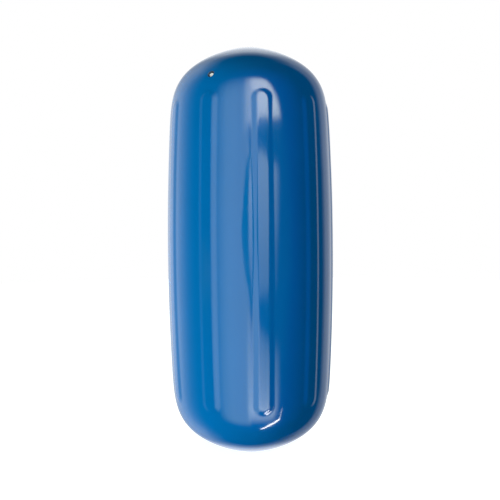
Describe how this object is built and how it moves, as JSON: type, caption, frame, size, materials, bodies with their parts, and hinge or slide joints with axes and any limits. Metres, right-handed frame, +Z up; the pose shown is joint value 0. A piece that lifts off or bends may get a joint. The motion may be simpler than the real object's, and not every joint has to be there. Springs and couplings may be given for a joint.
{
  "type": "boat fender",
  "caption": "Inflatable boat fender: a glossy bowed barrel with round shoulders, raised lengthwise ribs, a rope tube through the middle and a needle valve in one shoulder.",
  "frame": {"origin": "on the axis of the rope tube, in the plane that the lower end's flat ring rests on", "axes": "+Z up along the rope tube towards the end with the valve; the valve's shoulder faces -Y and a little to -X, and the first rib lies 8.4 degrees from -Y towards +X"},
  "size_m": [0.2166, 0.217, 0.52],
  "materials": {
    "blue_vinyl": "glossy soft blue vinyl, moulded in one piece",
    "white_rubber": "plain white rubber"
  },
  "bodies": {
    "root": {"fender_body": "blue_vinyl", "valve_insert": "white_rubber"}
  },
  "joints": []
}
